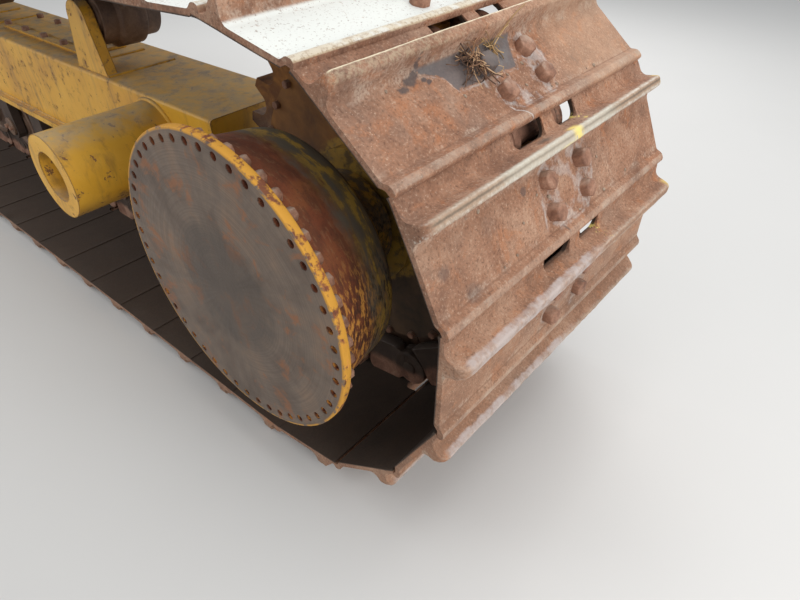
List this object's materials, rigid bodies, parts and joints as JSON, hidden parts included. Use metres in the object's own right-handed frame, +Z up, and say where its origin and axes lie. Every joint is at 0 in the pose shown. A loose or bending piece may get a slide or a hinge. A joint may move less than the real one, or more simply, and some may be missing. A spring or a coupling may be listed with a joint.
{
  "type": "crawler track unit",
  "caption": "Undercarriage side of a wide-track crawler tractor: shoes on a sealed chain, toothed sprocket with its final drive, roller frame, rollers and front idler.",
  "frame": {"origin": "on the sprocket's axis, in the plane where the final drive bolts to the machine's hull", "axes": "+X towards the machine's front, +Y towards its hull, +Z up"},
  "size_m": [4.2965, 0.895, 1.11],
  "materials": {
    "shoe_steel": "rusty",
    "chain_steel": "rusty",
    "sprocket_steel": "worn",
    "yellow_paint": "worn",
    "drive_case_paint": "rusty",
    "wheel_steel": "worn",
    "shaft_steel": "worn"
  },
  "bodies": {
    "frame": {"carrier_1": "wheel_steel", "carrier_2": "wheel_steel", "carrier_mount_1": "yellow_paint", "carrier_mount_2": "yellow_paint", "equalizer_saddle": "yellow_paint", "final_drive_case": "drive_case_paint", "fork_arm_in": "yellow_paint", "fork_arm_out": "yellow_paint", "guide_guard_front_in": "yellow_paint", "guide_guard_front_out": "yellow_paint", "guide_guard_rear_in": "yellow_paint", "guide_guard_rear_out": "yellow_paint", "idler_block_in": "yellow_paint", "idler_block_out": "yellow_paint", "idler_shaft": "shaft_steel", "pivot_boss": "yellow_paint", "roller_bed": "yellow_paint", "roller_frame": "yellow_paint", "roller_mounts": "yellow_paint", "sprocket_cover": "yellow_paint", "sprocket_hub": "yellow_paint", "sprocket_segments": "sprocket_steel", "track_chain": "chain_steel", "track_rollers": "wheel_steel", "track_shoes": "shoe_steel"},
    "idler": {"idler_wheel": "wheel_steel"}
  },
  "joints": [
    {"name": "idler_spin", "type": "hinge", "parent": "frame", "child": "idler", "pos_m": [3.19803, -0.48, -0.00956], "axis": [0, 1, 0], "continuous": true}
  ]
}
